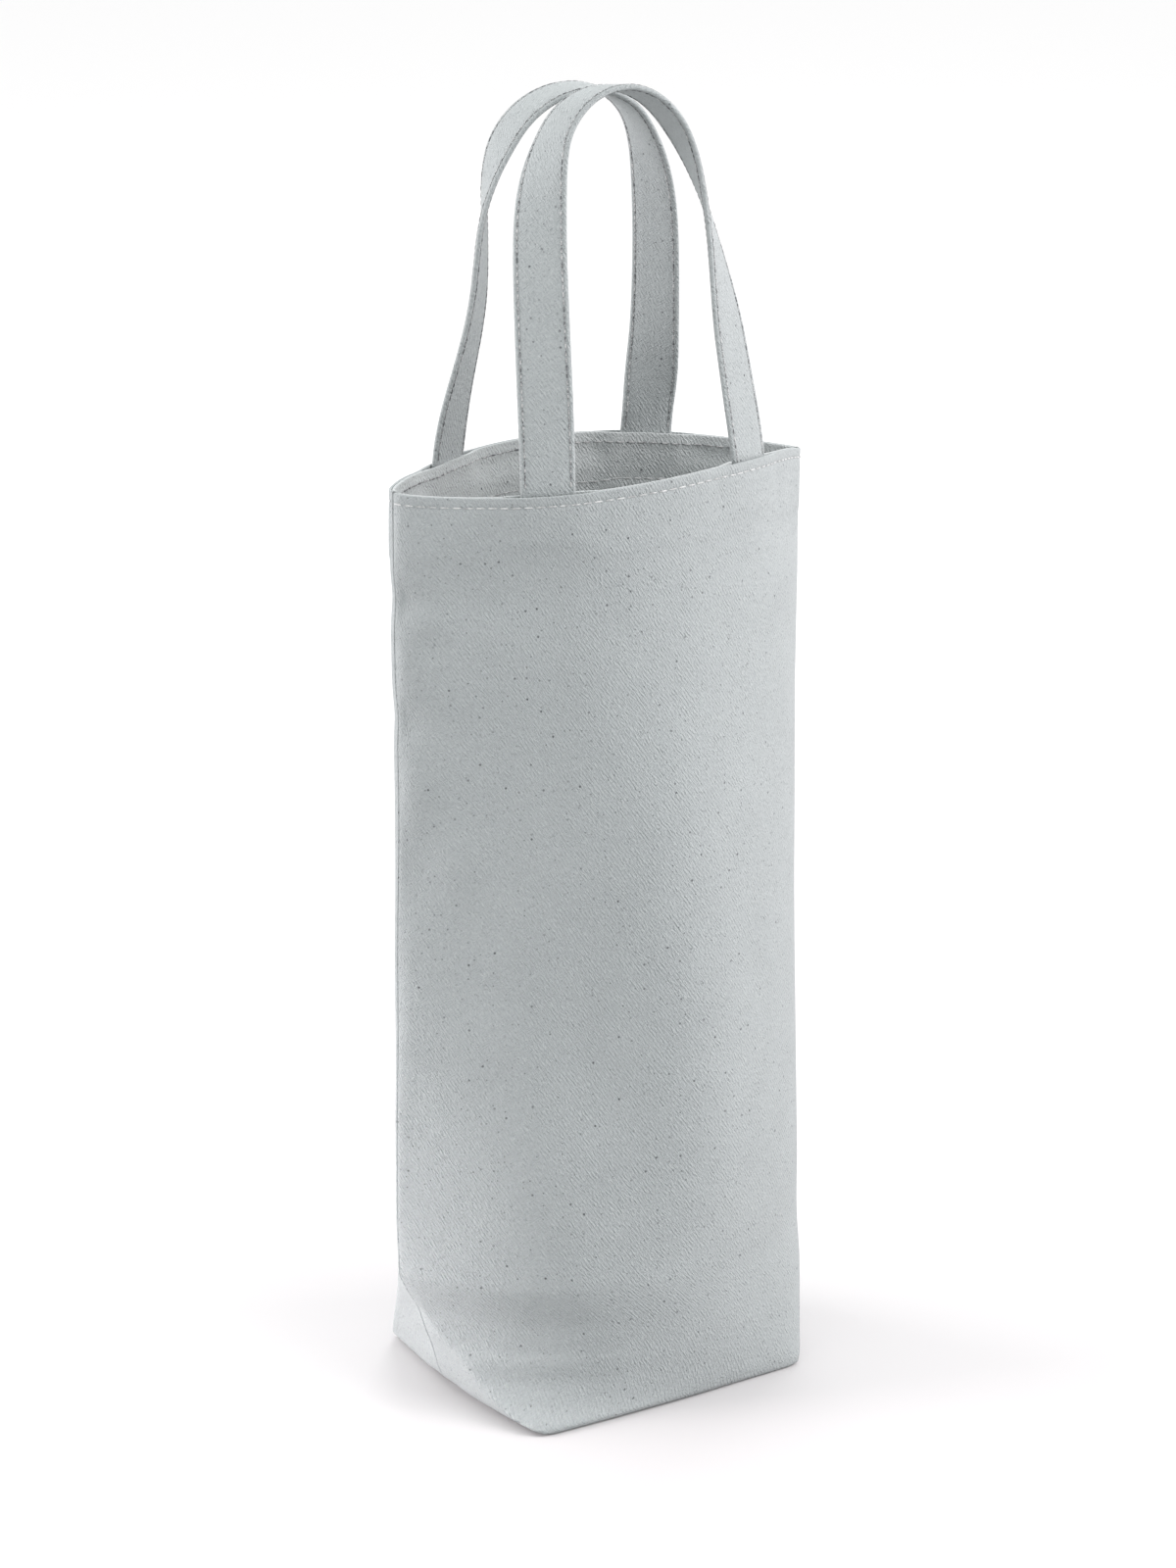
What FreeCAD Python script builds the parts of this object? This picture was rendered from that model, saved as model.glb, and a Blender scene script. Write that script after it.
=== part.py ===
"""Bottle carrier: a tall canvas bag with a boxed base and two strap handles. Millimetres, +Z up.

The origin is the middle of the base on the surface that the bag stands on. X runs along the mouth from
side seam to side seam, and the front is towards -Y.
"""
import FreeCAD
import Part
import math
import os
from FreeCAD import Vector

os.makedirs("parts", exist_ok=True)

# Bag
BODY_HEIGHT = 340.0
BASE_WIDTH = 110.0
BASE_DEPTH = 110.0
SEAM_SPAN = 170.0
MOUTH_DEPTH = 85.0
RIM_DROOP = 4.0
BELLY_DEPTH = 102.0
BELLY_HEIGHT = 190.0
GUSSET_HEIGHT = 50.0
GUSSET_TOP_DEPTH = 110.0
SEAM_EDGE = 2.0

# Cloth, hem and seams
CLOTH = 1.0
FACING_DEPTH = 24.0
HEM_TURN = 10.0
SEAM_ALLOWANCE = 10.0
SEWN_CLEARANCE = 0.1

# Handles
STRAP_WIDTH = 19.0
STRAP_THICKNESS = 2.2
STRAP_END_DEPTH = 21.0
STRAP_SLOT_CLEARANCE = 0.2
LEG_SPACING = 85.6
LEG_RISE = 78.0
ARCH_RISE = 50.0
ARCH_SPAN = 72.4
ARCH_FOOT_OFFSET = 18.0
STRAP_GAP_AT_TOP = 0.8
HINGE_CLEARANCE = 0.3

# Thread
THREAD_WIDTH = 0.6
THREAD_HEIGHT = 0.3
MOUTH_ROW_DROP = 3.3
HANDLE_ROW_INSET = 2.2
FACING_ROW_RISE = 6.0
SEAM_ROW_INSET = 7.0

# Fullness of a section: how far its bow's inner poles stand out, as a share of its half width
PARABOLA_SHARE = 1 / 3
BELLY_FULLNESS_SHARE = 0.42
GUSSET_TOP_FULLNESS_SHARE = 0.56

# Twist of a strap: where along its half loop it starts and ends turning from the lip to the arch
TWIST_START_SHARE = 0.18
TWIST_END_SHARE = 0.9

# Steps along half a handle
LEG_STEPS = 7
ARCH_STEPS = 10

OVERRUN = 10.0

FACING_INSET = CLOTH + STRAP_THICKNESS + 2 * SEWN_CLEARANCE
FACING_FOOT = BODY_HEIGHT - RIM_DROOP - FACING_DEPTH
LEG_X = LEG_SPACING / 2
ARCH_X = ARCH_SPAN / 2
HALF_TURN = 180
QUARTER_TURN = 90
UP = Vector(0, 0, 1)


def bow(left, right, half_pole, pole_depth):
    """One panel's line across a section, from its left edge point to its right edge point."""
    curve = Part.BezierCurve()
    first = Vector(math.copysign(half_pole, left.x), pole_depth, left.z)
    second = Vector(math.copysign(half_pole, right.x), pole_depth, right.z)
    curve.setPoles([left, first, second, right])
    return curve.toShape()


def section(height, half_width, half_edge, half_depth, fullness_share):
    """Closed outline of the bag at one height: two bows joined by straight edges at the side seams."""
    pole_depth = (4 * half_depth - half_edge) / 3
    half_pole = half_width * fullness_share
    front_left = Vector(-half_width, -half_edge, height)
    front_right = Vector(half_width, -half_edge, height)
    rear_left = Vector(-half_width, half_edge, height)
    rear_right = Vector(half_width, half_edge, height)
    return Part.Wire([
        bow(front_left, front_right, half_pole, -pole_depth),
        Part.makeLine(front_right, rear_right),
        bow(rear_right, rear_left, half_pole, pole_depth),
        Part.makeLine(rear_left, front_left),
    ])


def gusset_top(inset):
    return section(GUSSET_HEIGHT, SEAM_SPAN / 2 - inset, SEAM_EDGE / 2,
                   GUSSET_TOP_DEPTH / 2 - inset, GUSSET_TOP_FULLNESS_SHARE)


def upper_volume(inset):
    """The bag above its gussets, filled solid and drawn in by an inset."""
    belly = section(BELLY_HEIGHT, SEAM_SPAN / 2 - inset, SEAM_EDGE / 2,
                    BELLY_DEPTH / 2 - inset, BELLY_FULLNESS_SHARE)
    mouth = section(BODY_HEIGHT, SEAM_SPAN / 2 - inset, SEAM_EDGE / 2,
                    MOUTH_DEPTH / 2 - inset, PARABOLA_SHARE)
    return Part.makeLoft([gusset_top(inset), belly, mouth], True, False)


def lower_volume(inset):
    """The boxed base with its two triangular gussets, filled solid and drawn in by an inset."""
    base = section(inset, BASE_WIDTH / 2 - inset, BASE_DEPTH / 2 - inset, BASE_DEPTH / 2 - inset, PARABOLA_SHARE)
    return Part.makeLoft([base, gusset_top(inset)], True, True)


def layer(outer_inset, inner_inset):
    """A closed band of cloth between two insets of the bag above its gussets."""
    return upper_volume(outer_inset).cut(upper_volume(inner_inset))


def block(x_low, x_high, y_low, y_high, z_low, z_high):
    return Part.makeBox(x_high - x_low, y_high - y_low, z_high - z_low, Vector(x_low, y_low, z_low))


REACH_X = SEAM_SPAN / 2 + OVERRUN
REACH_Y = (max(BASE_DEPTH, GUSSET_TOP_DEPTH, BELLY_DEPTH) / 2) + OVERRUN
FRONT_SIDE = block(-REACH_X, REACH_X, -REACH_Y, 0, -OVERRUN, BODY_HEIGHT + OVERRUN)


def rim_height(x, drop):
    """Height of the line that runs a drop below the rim: level in the middle, drooping to the side seams."""
    return BODY_HEIGHT - drop - RIM_DROOP * (x / (SEAM_SPAN / 2)) ** 2


def rim_line(drop):
    end = rim_height(REACH_X, drop)
    curve = Part.BezierCurve()
    curve.setPoles([Vector(-REACH_X, -REACH_Y, end),
                    Vector(0, -REACH_Y, 2 * rim_height(0, drop) - end),
                    Vector(REACH_X, -REACH_Y, end)])
    return curve.toShape()


def rim_band(low_drop, high_drop):
    """Everything between two lines that follow the rim, right through the bag."""
    low = rim_line(low_drop)
    high = rim_line(high_drop)
    sides = [Part.makeLine(low.Vertexes[i].Point, high.Vertexes[i].Point) for i in (0, 1)]
    outline = Part.Wire(Part.sortEdges([low, high] + sides)[0])
    return Part.Face(outline).extrude(Vector(0, 2 * REACH_Y, 0))


def to_rear(shape):
    """The rear copy of a front piece: half a turn about the bag's upright axis."""
    turned = shape.copy()
    turned.rotate(Vector(), UP, HALF_TURN)
    return turned


def seam_strip(outer_inset, inner_inset, y_low, y_high, z_low, z_high):
    """A flat strip that follows the right side seam, upright above the gusset and slanted along it."""
    slope = (SEAM_SPAN - BASE_WIDTH) / 2 / GUSSET_HEIGHT

    def seam_x(height):
        return SEAM_SPAN / 2 - slope * (GUSSET_HEIGHT - min(height, GUSSET_HEIGHT))

    levels = (z_low, GUSSET_HEIGHT, z_high)
    outer = [Vector(seam_x(level) - outer_inset, y_low, level) for level in levels]
    inner = [Vector(seam_x(level) - inner_inset, y_low, level) for level in reversed(levels)]
    outline = Part.makePolygon(outer + inner + outer[:1])
    return Part.Face(outline).extrude(Vector(0, y_high - y_low, 0))


def lip_y(x, inset):
    """Distance of the mouth's parabola from the side seam plane, at a place along the mouth."""
    half_width = SEAM_SPAN / 2 - inset
    half_edge = SEAM_EDGE / 2
    return half_edge + (MOUTH_DEPTH / 2 - inset - half_edge) * (1 - (x / half_width) ** 2)


STRAP_INSET = CLOTH + SEWN_CLEARANCE
STRAP_MIDDLE_INSET = STRAP_INSET + STRAP_THICKNESS / 2
LEG_OFFSET = lip_y(LEG_X, STRAP_MIDDLE_INSET)
LIP_SLOPE = 2 * LEG_OFFSET * LEG_X / ((SEAM_SPAN / 2) ** 2 - LEG_X ** 2)
LIP_TURN = math.degrees(math.atan(LIP_SLOPE))
APEX_OFFSET = (STRAP_WIDTH + STRAP_GAP_AT_TOP) / 2
FOOT_HEIGHT = rim_height(LEG_X - STRAP_WIDTH / 2, 0) + HINGE_CLEARANCE


def strap_slot(side, clearance):
    """The space across the hem where one end of the front strap is sewn in."""
    half_width = STRAP_WIDTH / 2 + clearance
    slot = block(-half_width, half_width, -OVERRUN, OVERRUN,
                 rim_height(LEG_X, STRAP_END_DEPTH + clearance), BODY_HEIGHT + OVERRUN)
    slot.rotate(Vector(), UP, side * LIP_TURN)
    slot.translate(Vector(side * LEG_X, -LEG_OFFSET, 0))
    return slot


def front_slots(clearance):
    return Part.makeCompound([strap_slot(side, clearance) for side in (-1, 1)])


def front_panel():
    """Front cloth: its wall, gusset halves, base half, turned hem and seam allowances."""
    outer = lower_volume(0).fuse(upper_volume(0))
    inner = lower_volume(CLOTH).fuse(upper_volume(CLOTH))
    wall = outer.cut(inner).cut(rim_band(0, -OVERRUN)).common(FRONT_SIDE)
    hem = layer(CLOTH, 2 * CLOTH).common(rim_band(HEM_TURN, 0)).common(FRONT_SIDE)
    hem = hem.cut(front_slots(STRAP_SLOT_CLEARANCE))
    right_allowance = seam_strip(CLOTH / 2, CLOTH + SEAM_ALLOWANCE, -CLOTH, 0,
                                 CLOTH / 2, FACING_FOOT - SEWN_CLEARANCE)
    left_allowance = right_allowance.mirror(Vector(), Vector(1, 0, 0))
    base_x = BASE_WIDTH / 2 - CLOTH
    base_y = BASE_DEPTH / 2 - CLOTH
    base_allowance = block(-base_x, base_x, -SEAM_ALLOWANCE, 0, CLOTH / 2, 2 * CLOTH)
    right_corner = block(base_x - SEAM_ALLOWANCE, base_x, -base_y, 0, CLOTH / 2, 3 * CLOTH)
    left_corner = right_corner.mirror(Vector(), Vector(1, 0, 0))
    panel = wall.fuse([hem, right_allowance, left_allowance, base_allowance, right_corner, left_corner])
    return panel.removeSplitter()


def front_facing():
    """Inner band behind the front of the mouth, with its own edge turned in beside the panel's."""
    band = layer(FACING_INSET, FACING_INSET + CLOTH).common(rim_band(FACING_DEPTH, 0))
    turn = layer(FACING_INSET - CLOTH, FACING_INSET).common(rim_band(HEM_TURN, 0))
    facing = band.fuse(turn.cut(front_slots(STRAP_SLOT_CLEARANCE)))
    return facing.common(FRONT_SIDE).removeSplitter()


def strap_end(side):
    """One end of the front strap, caught between panel and facing."""
    depth = layer(STRAP_INSET, STRAP_INSET + STRAP_THICKNESS).common(FRONT_SIDE)
    return depth.cut(rim_band(0, -OVERRUN)).common(strap_slot(side, 0))


def smooth_step(share):
    """Eases from 0 to 1, level at both ends and beyond them."""
    held = min(max(share, 0), 1)
    return held * held * (3 - 2 * held)


def strap_centre(share):
    """Middle of the front strap from its right foot (share 0) to the top of its arch (share 1)."""
    leg_share = LEG_STEPS / (LEG_STEPS + ARCH_STEPS)
    if share <= leg_share:
        part = share / leg_share
        x = LEG_X + part * (ARCH_X - LEG_X)
        y = LEG_OFFSET + part * (ARCH_FOOT_OFFSET - LEG_OFFSET)
        z = FOOT_HEIGHT + part * (BODY_HEIGHT + LEG_RISE - FOOT_HEIGHT)
    else:
        part = (share - leg_share) / (1 - leg_share)
        turn = part * math.pi / 2
        x = ARCH_X * math.cos(turn)
        y = ARCH_FOOT_OFFSET + part * (APEX_OFFSET - ARCH_FOOT_OFFSET)
        z = BODY_HEIGHT + LEG_RISE + ARCH_RISE * math.sin(turn)
    return Vector(x, -y, z)


def strap_frames():
    """Place, width direction and outward direction of the front strap at each step, right foot to left foot."""
    steps = LEG_STEPS + ARCH_STEPS
    centres = [strap_centre(step / steps) for step in range(steps + 1)]
    runs = [second.distanceToPoint(first) for first, second in zip(centres, centres[1:])]
    forward = Vector(0, -1, 0)
    half = []
    for step, centre in enumerate(centres):
        if step == 0:
            along = UP
        elif step == steps:
            along = Vector(-1, 0, 0)
        else:
            along = (centres[step + 1] - centres[step - 1]).normalize()
        share = sum(runs[:step]) / sum(runs)
        turned = smooth_step((share - TWIST_START_SHARE) / (TWIST_END_SHARE - TWIST_START_SHARE))
        twist = math.radians(LIP_TURN + (QUARTER_TURN - LIP_TURN) * turned)
        facing = (forward - along * forward.dot(along)).normalize()
        width = facing * math.sin(twist) - along.cross(facing) * math.cos(twist)
        half.append((centre, width, along.cross(width)))
    frames = list(half)
    for centre, width, out in reversed(half[:-1]):
        frames.append((Vector(-centre.x, centre.y, centre.z),
                       Vector(width.x, -width.y, -width.z),
                       Vector(-out.x, out.y, out.z)))
    return frames


def front_ribbon(width_offset, out_offset, width, thickness):
    """A strip along the whole front strap, set off its middle across the width and outwards."""
    outlines = []
    for centre, across, out in strap_frames():
        middle = centre + across * width_offset + out * out_offset
        corners = [middle + across * (width / 2 * u) + out * (thickness / 2 * v)
                   for u, v in ((-1, -1), (1, -1), (1, 1), (-1, 1), (-1, -1))]
        outlines.append(Part.makePolygon(corners))
    return Part.makeLoft(outlines, True, True)


def front_handle_stitching():
    """The two edge rows on both faces of the front strap's free loop."""
    row = STRAP_WIDTH / 2 - HANDLE_ROW_INSET
    lift = (STRAP_THICKNESS + THREAD_HEIGHT) / 2 + SEWN_CLEARANCE
    rows = [front_ribbon(u * row, v * lift, THREAD_WIDTH, THREAD_HEIGHT) for u in (-1, 1) for v in (-1, 1)]
    return Part.makeCompound(rows)


def thread_ring(outer_inset, drop):
    """One row of thread round the bag, a drop below the rim, on the layer that the inset gives."""
    ring = layer(outer_inset, outer_inset + THREAD_HEIGHT)
    return ring.common(rim_band(drop + THREAD_WIDTH / 2, drop - THREAD_WIDTH / 2))


def mouth_stitching():
    outside = thread_ring(-THREAD_HEIGHT - SEWN_CLEARANCE, MOUTH_ROW_DROP)
    inside = thread_ring(FACING_INSET + CLOTH + SEWN_CLEARANCE, MOUTH_ROW_DROP)
    return Part.makeCompound([outside, inside])


def front_facing_stitching():
    ring = thread_ring(FACING_INSET + CLOTH + SEWN_CLEARANCE, FACING_DEPTH - FACING_ROW_RISE)
    return ring.common(FRONT_SIDE)


def right_side_stitching():
    """Thread on both faces of the right side seam's allowances."""
    near = CLOTH + SEWN_CLEARANCE
    bottom = CLOTH + SEAM_ALLOWANCE
    top = FACING_FOOT - SEAM_ALLOWANCE
    front = seam_strip(SEAM_ROW_INSET, SEAM_ROW_INSET + THREAD_WIDTH, -near - THREAD_HEIGHT, -near, bottom, top)
    return Part.makeCompound([front, front.mirror(Vector(), Vector(0, 1, 0))])


def right_corner_stitching():
    """Thread along the right boxed corner, on its folded allowances, each side of the side seam."""
    x = BASE_WIDTH / 2 - SEAM_ROW_INSET
    y = BASE_DEPTH / 2 - SEAM_ALLOWANCE
    low = 3 * CLOTH + SEWN_CLEARANCE
    front = block(x - THREAD_WIDTH, x, -y, -CLOTH - SEWN_CLEARANCE, low, low + THREAD_HEIGHT)
    return Part.makeCompound([front, front.mirror(Vector(), Vector(0, 1, 0))])


def base_stitching():
    """Thread along the line where the two halves of the base meet."""
    x = BASE_WIDTH / 2 - 2 * CLOTH - SEAM_ALLOWANCE
    low = 2 * CLOTH + SEWN_CLEARANCE
    return block(-x, x, -THREAD_WIDTH / 2, THREAD_WIDTH / 2, low, low + THREAD_HEIGHT)


def build():
    """Every piece by name; the rear pieces are the front ones turned half round."""
    front = {
        "panel": front_panel(),
        "facing": front_facing(),
        "handle": front_ribbon(0, 0, STRAP_WIDTH, STRAP_THICKNESS),
        "handle_stitching": front_handle_stitching(),
        "facing_stitching": front_facing_stitching(),
    }
    pieces = {}
    for name, shape in front.items():
        pieces["front_" + name] = shape
        pieces["rear_" + name] = to_rear(shape)
    for name, side in (("left", -1), ("right", 1)):
        pieces["front_handle_" + name + "_end"] = strap_end(side)
        pieces["rear_handle_" + name + "_end"] = to_rear(strap_end(-side))
    right_seam = {"side_stitching": right_side_stitching(), "corner_stitching": right_corner_stitching()}
    for name, shape in right_seam.items():
        pieces["right_" + name] = shape
        pieces["left_" + name] = to_rear(shape)
    pieces["mouth_stitching"] = mouth_stitching()
    pieces["base_stitching"] = base_stitching()
    return pieces


for node, shape in build().items():
    shape.exportStep("parts/" + node + ".step")
    print(node, len(shape.Solids), "solids, volume", round(shape.Volume, 1), "valid", shape.isValid())
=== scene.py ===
"""A canvas bottle carrier: two sewn panels, a turned rim and two strap handles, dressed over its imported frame."""

import math

import bmesh
import bpy
import numpy as np
from bpy.props import FloatProperty, FloatVectorProperty, IntProperty, PointerProperty
from mathutils import Matrix, Vector


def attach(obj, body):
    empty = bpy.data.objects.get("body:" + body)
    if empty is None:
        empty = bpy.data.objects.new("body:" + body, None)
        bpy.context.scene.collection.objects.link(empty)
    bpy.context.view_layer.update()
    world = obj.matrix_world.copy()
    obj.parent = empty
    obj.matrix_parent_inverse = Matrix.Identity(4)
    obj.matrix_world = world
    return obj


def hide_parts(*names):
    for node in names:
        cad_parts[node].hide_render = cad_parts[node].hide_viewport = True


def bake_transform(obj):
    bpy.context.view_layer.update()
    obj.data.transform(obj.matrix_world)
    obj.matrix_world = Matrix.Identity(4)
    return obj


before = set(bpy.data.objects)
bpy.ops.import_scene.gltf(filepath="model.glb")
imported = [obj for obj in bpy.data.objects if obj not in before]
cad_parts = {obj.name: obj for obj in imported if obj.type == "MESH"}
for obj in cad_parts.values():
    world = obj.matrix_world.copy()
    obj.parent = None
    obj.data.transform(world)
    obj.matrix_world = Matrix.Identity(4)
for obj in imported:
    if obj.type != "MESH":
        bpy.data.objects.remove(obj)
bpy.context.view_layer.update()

bl_info = {
    "name": "Canvas Bottle Carrier",
    "version": (1, 0, 0),
    "blender": (4, 5, 0),
    "location": "View3D > Sidebar > Carrier",
    "description": "Builds the cloth, straps and stitching of a canvas bottle carrier",
    "category": "Object",
}

MM = 0.001
FRONT, REAR = -1, 1
LEFT, RIGHT = -1, 1
SIDES = {"front": FRONT, "rear": REAR}

# The bottom corners' folds, floor to fold top: shares of the fold's height, of the way from the base's
# half width to the side seam, and of the base's half depth that stays flat. One corner has slumped.
FOLD = ((0.0, 0.03, 0.985), (0.25, 0.26, 0.75), (0.5, 0.50, 0.50), (0.75, 0.74, 0.25), (1.0, 0.98, 0.01))
SLUMPED_FOLD = (
    (0.00, 0.05, 0.985), (0.056, 0.16, 0.93), (0.08, 0.23, 0.83), (0.124, 0.287, 0.71), (0.212, 0.357, 0.56),
    (0.292, 0.41, 0.45), (0.436, 0.50, 0.33), (0.496, 0.56, 0.236), (0.60, 0.633, 0.145), (0.712, 0.71, 0.064),
    (0.84, 0.84, 0.022), (1.00, 0.98, 0.010),
)
# Fullness of a panel's bow by share of the body's height: plain, and on the front's fuller right side.
BOW_SHARES = (
    (0.0, 0.44, 0.97), (0.044, 0.46, 0.97), (0.10, 0.52, 0.92), (0.147, 0.56, 0.84), (0.20, 0.54, 0.80),
    (0.32, 0.49, 0.74), (0.56, 0.42, 0.64), (0.85, 0.36, 0.62), (0.93, 0.345, 0.45), (1.0, 0.3333, 0.34),
)
# Where the side seams draw in: left or right, share of the height, half spread and depth in millimetres.
SEAM_WAVES = (
    (LEFT, 0.66, 0.15, 1.6), (LEFT, 0.42, 0.08, 0.6), (LEFT, 0.55, 0.45, 0.6), (LEFT, 0.888, 0.020, 0.8),
    (LEFT, 0.762, 0.022, 0.7), (RIGHT, 0.30, 0.10, 0.2),
)
# How roundly the cloth turns at the side seams, by share of the height: left and right, in millimetres.
SEAM_TURNS = (
    (0.0, 0.6, 0.6), (0.145, 0.7, 0.7), (0.20, 1.6, 2.0), (0.35, 2.6, 2.6),
    (0.6, 8.0, 2.6), (0.95, 10.0, 3.6), (1.0, 8.0, 4.0),
)
# Soft hollows and swells of each panel: place across, height, half spread across and up, and
# depth, in shares of the panel's girth, the body's height and, for the depth, millimetres.
HOLLOWS = {
    FRONT: (
        (0.035, 0.888, 0.030, 0.018, 1.2), (0.075, 0.868, 0.030, 0.013, -0.8), (0.080, 0.842, 0.030, 0.014, 0.8),
        (0.035, 0.822, 0.030, 0.030, -0.8), (0.035, 0.762, 0.030, 0.018, 1.1), (0.045, 0.690, 0.035, 0.030, -1.0),
        (0.115, 0.615, 0.035, 0.030, -0.9), (0.045, 0.60, 0.035, 0.035, 1.2),
        (0.06, 0.45, 0.05, 0.06, -0.9), (0.25, 0.24, 0.11, 0.12, -2.4), (0.33, 0.39, 0.12, 0.13, 3.4),
        (0.21, 0.66, 0.14, 0.17, 3.0), (0.51, 0.62, 0.12, 0.18, -2.8), (0.54, 0.33, 0.11, 0.18, -3.2),
        (0.20, 0.895, 0.16, 0.045, 1.8), (0.40, 0.10, 0.22, 0.09, -1.4), (0.24, 0.10, 0.20, 0.08, -1.7),
        (0.64, 0.09, 0.07, 0.07, 1.6), (0.90, 0.10, 0.05, 0.08, 1.2),
    ),
    REAR: (
        (0.10, 0.55, 0.06, 0.07, 1.4), (0.30, 0.30, 0.12, 0.10, -1.1), (0.62, 0.45, 0.12, 0.14, 1.3),
        (0.88, 0.68, 0.05, 0.06, 1.5), (0.45, 0.12, 0.10, 0.08, 1.0), (0.93, 0.30, 0.04, 0.07, -1.0),
    ),
}
# Route of each strap between its feet, left to right, in millimetres, and how far its width is
# turned from the rim's line towards the front or rear, in degrees, evenly spaced along it.
STRAP_ROUTES = {
    FRONT: (
        (-40.2, -30.1, 366.9), (-37.4, -23.0, 403.4), (-32.5, -14.0, 439.1), (-20.7, -8.5, 463.4),
        (0.0, -9.5, 472.6), (19.6, -13.4, 464.6), (31.2, -18.4, 438.2), (36.5, -24.0, 401.8),
        (39.7, -29.5, 366.1),
    ),
    REAR: (
        (-41.7, 23.7, 364.2), (-35.6, 16.6, 396.4), (-36.2, 16.8, 432.1), (-25.5, 14.6, 459.8),
        (-2.8, 9.9, 470.5), (21.0, 8.8, 463.4), (34.3, 14.2, 437.9), (40.0, 20.8, 400.9),
        (42.1, 25.4, 365.1),
    ),
}
STRAP_FEET = {FRONT: (-41.9, 42.9), REAR: (-45.2, 41.2)}
STRAP_TURNS = {
    FRONT: (24, 26, 38, 52, 90, 97, 88, 55, 25, 20, 25),
    REAR: (25, 26, 37, 50, 86, 91, 93, 70, 58, 20, 23),
}
# The rim's rise and fall from seam to seam: the factors of the front's curve, and the height, place and
# half spread of the rear's swell near its left seam.
FRONT_WAVE = (1.83, 2.83)
REAR_WAVE = (0.42, -0.86, 0.13)
# Over how much cloth the form changes: at the facing's foot, at the rim's row of stitches, beside and
# below a sewn strap end, and, as a share of the girth, near the side seams.
HEM_EDGE = 5 * MM
GROOVE_HALF = 0.9 * MM
STRAP_SHOULDER = 9 * MM
STRAP_FOOT = 4 * MM
SEAM_SHARE = 0.025
# The corner seams' lift off the floor: where it starts along the base, the length and the height over
# which it comes and goes, how high it is and its half spread from front to rear.
LIFT_START, LIFT_RUN, LIFT_FADE = 46 * MM, 9 * MM, 14 * MM
LIFT_HEIGHT, LIFT_HALF = 2.3 * MM, 13 * MM
# A panel's mesh: its rows down to two depths below the rim, to a height above the floor and to the
# base, then round the base's edge, across the base and in a turned-in allowance.
PANEL_ROWS = (14, 18, 84, 44)
RIM_BAND, HEM_BAND, FOOT_BAND = 8 * MM, 40 * MM, 60 * MM
ROUND_ROWS, BASE_ROWS, TURNED_ROWS = 6, 22, 3
# Where the gusset halves end and where the facings start and stop, as shares of the girth.
GUSSET_SHARES = (0.229, 0.771)
FACING_SHARES = (0.004, 0.996)
# How far from the middle the corner seams' cloth turns up and over how much it runs out, in base depths.
CORNER_SEWN, CORNER_FADE = 0.46, 0.18
# Cloth that the side seams still turn in behind the facing.
CAUGHT = 0.8 * MM
# Room that a layer takes between others, in thicknesses of cloth: in a seam, behind the facing, and
# over a strap's end.
SEAM_LAYER, FACING_LAYER, STRAP_LAYER = 1.1, 1.15, 1.3
# Half lengths of the rows in the corner and base seams, as shares of the base.
CORNER_ROW, BASE_ROW = 0.24, 0.46
# A strap's half thickness in the groove of its stitches, as a share, a stitch's flatness, and how far
# its middle stands out of the cloth, in thicknesses of thread.
GROOVE_LEVEL, STITCH_FLAT, STITCH_PROUD = 0.74, 0.8, 0.25
# The angles past which an edge looks sharp and is taken as a cut edge, and the cut edges' rounding in
# thicknesses of cloth.
SHARP_ANGLE, CUT_ANGLE, EDGE_ROUND = math.radians(50), math.radians(70), 0.3
# Points that the lamps and the camera look at, and where the floor's colour starts and stops to change.
BAG_MIDDLE, LEFT_AIM, FOOT_AIM = Vector((0.0, 0.0, 0.2)), Vector((-0.06, 0.0, 0.28)), Vector((-0.06, 0.0, 0.02))
VIEW_AIM = Vector((-3.0, 0.0, 220.7)) * MM
FLOOR_FADE = (0.35, 2.6)


def length(name, text, value):
    """A size in metres."""
    return FloatProperty(name=name, description=text, default=value, min=0.0, precision=4, unit="LENGTH")


def share(name, text, value):
    """A part of a whole, from nought to one."""
    return FloatProperty(name=name, description=text, default=value, min=0.0, max=1.0, subtype="FACTOR")


def power(name, text, value):
    """A lamp's power in watts."""
    return FloatProperty(name=name, description=text, default=value, min=0.0, unit="POWER")


def colour(name, text, value):
    """A colour in linear light."""
    return FloatVectorProperty(name=name, description=text, default=value, size=3, min=0.0, max=1.0, subtype="COLOR")


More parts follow.
